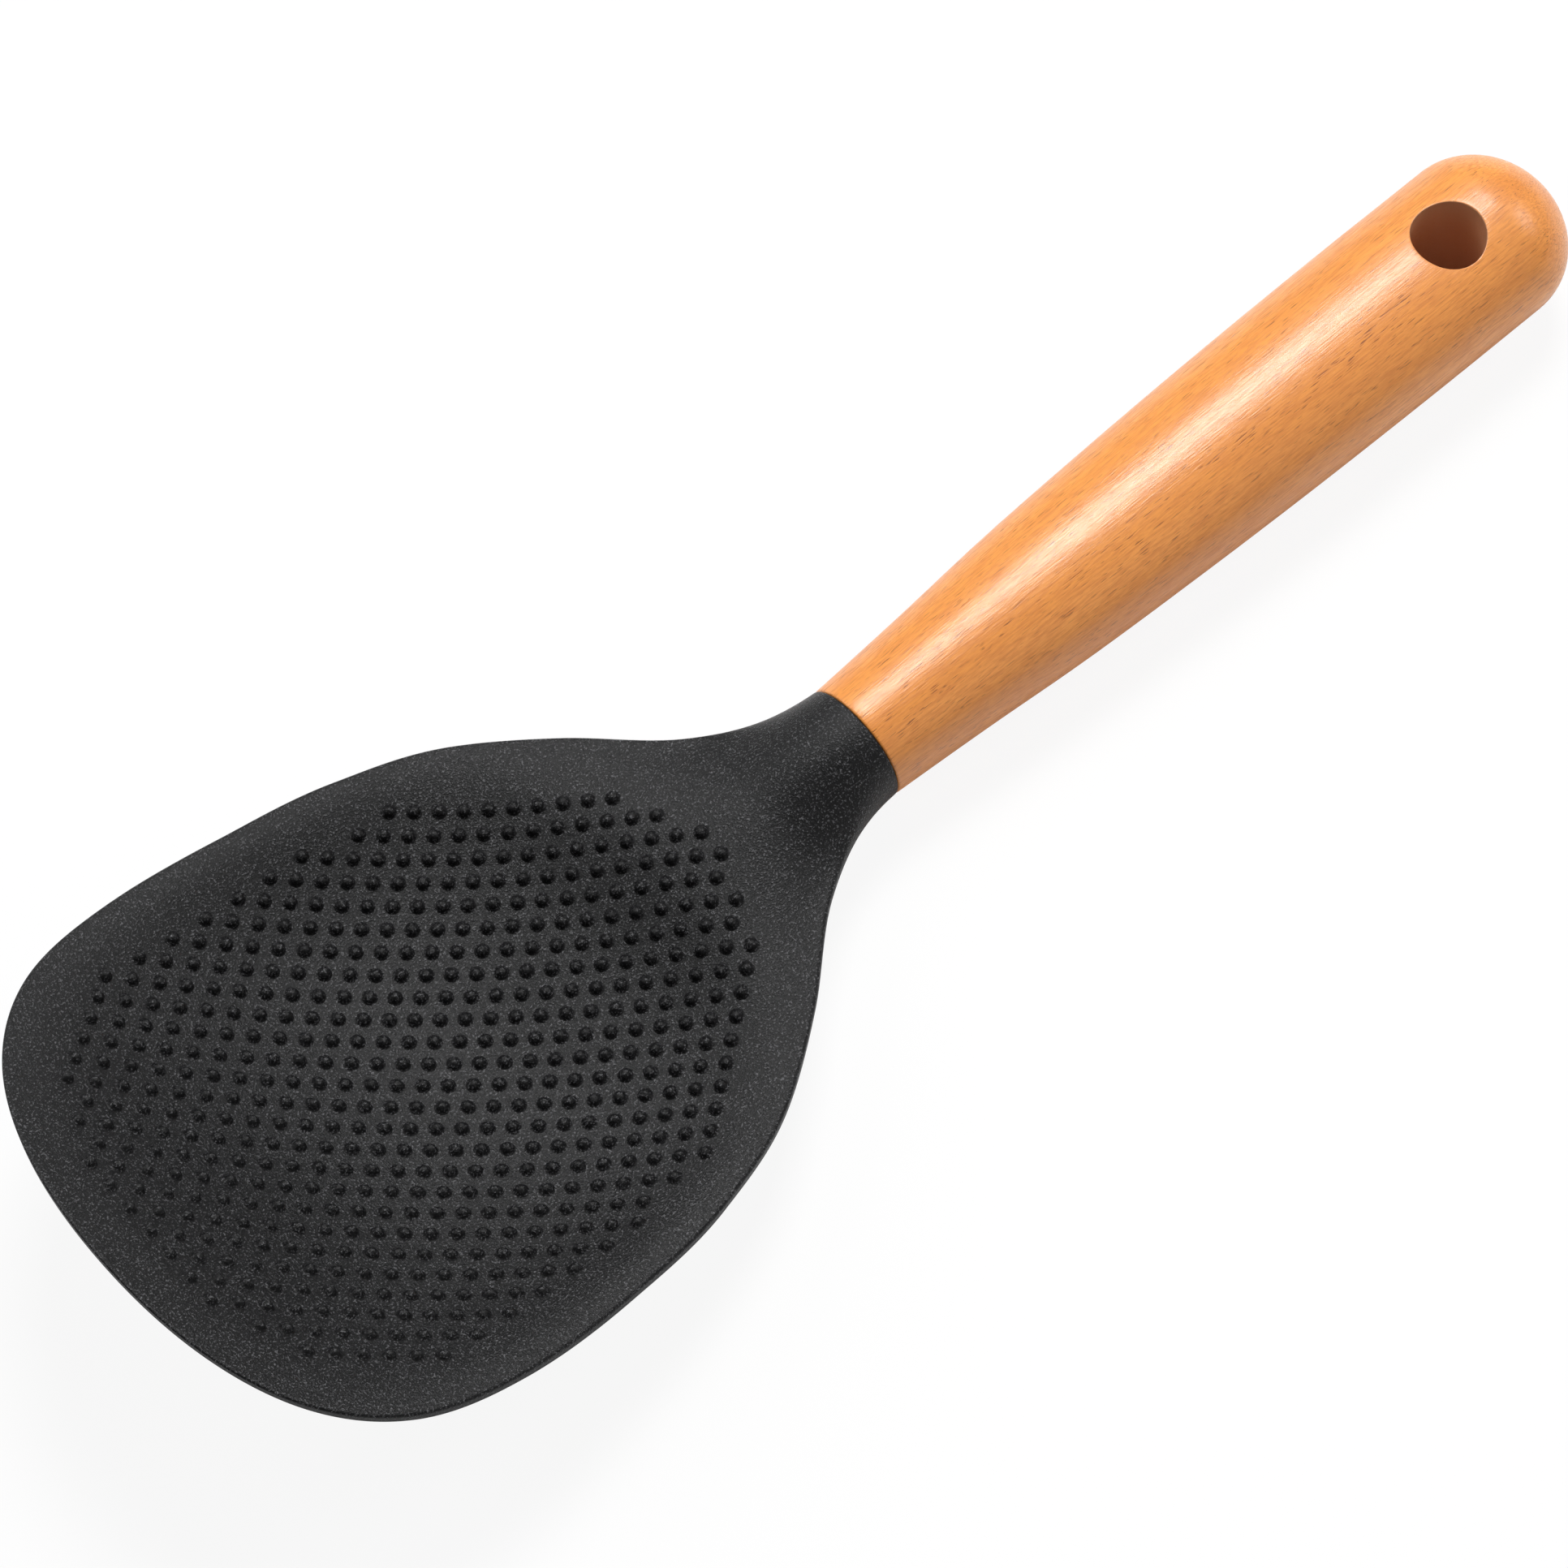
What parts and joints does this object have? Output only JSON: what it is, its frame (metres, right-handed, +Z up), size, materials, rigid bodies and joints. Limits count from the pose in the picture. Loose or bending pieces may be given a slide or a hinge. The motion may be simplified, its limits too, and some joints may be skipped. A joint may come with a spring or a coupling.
{
  "type": "rice paddle",
  "caption": "Broad dished serving paddle with a nubbed black nylon head on a slim oval beech handle with a hanging hole.",
  "frame": {"origin": "under the middle of the paddle's length and width, level with the lowest point of the handle's belly", "axes": "+X along the handle's level axis from the head to the handle's end, +Y across, +Z up, out of the dish"},
  "size_m": [0.2498, 0.0836, 0.0394],
  "materials": {
    "nylon": "matte black, finely pitted mould texture",
    "beech": "satin lacquered beech, grain along the handle",
    "glue": "cured, unseen inside the handle"
  },
  "bodies": {
    "root": {"head": "nylon", "handle": "beech", "tang_glue": "glue"}
  },
  "joints": []
}
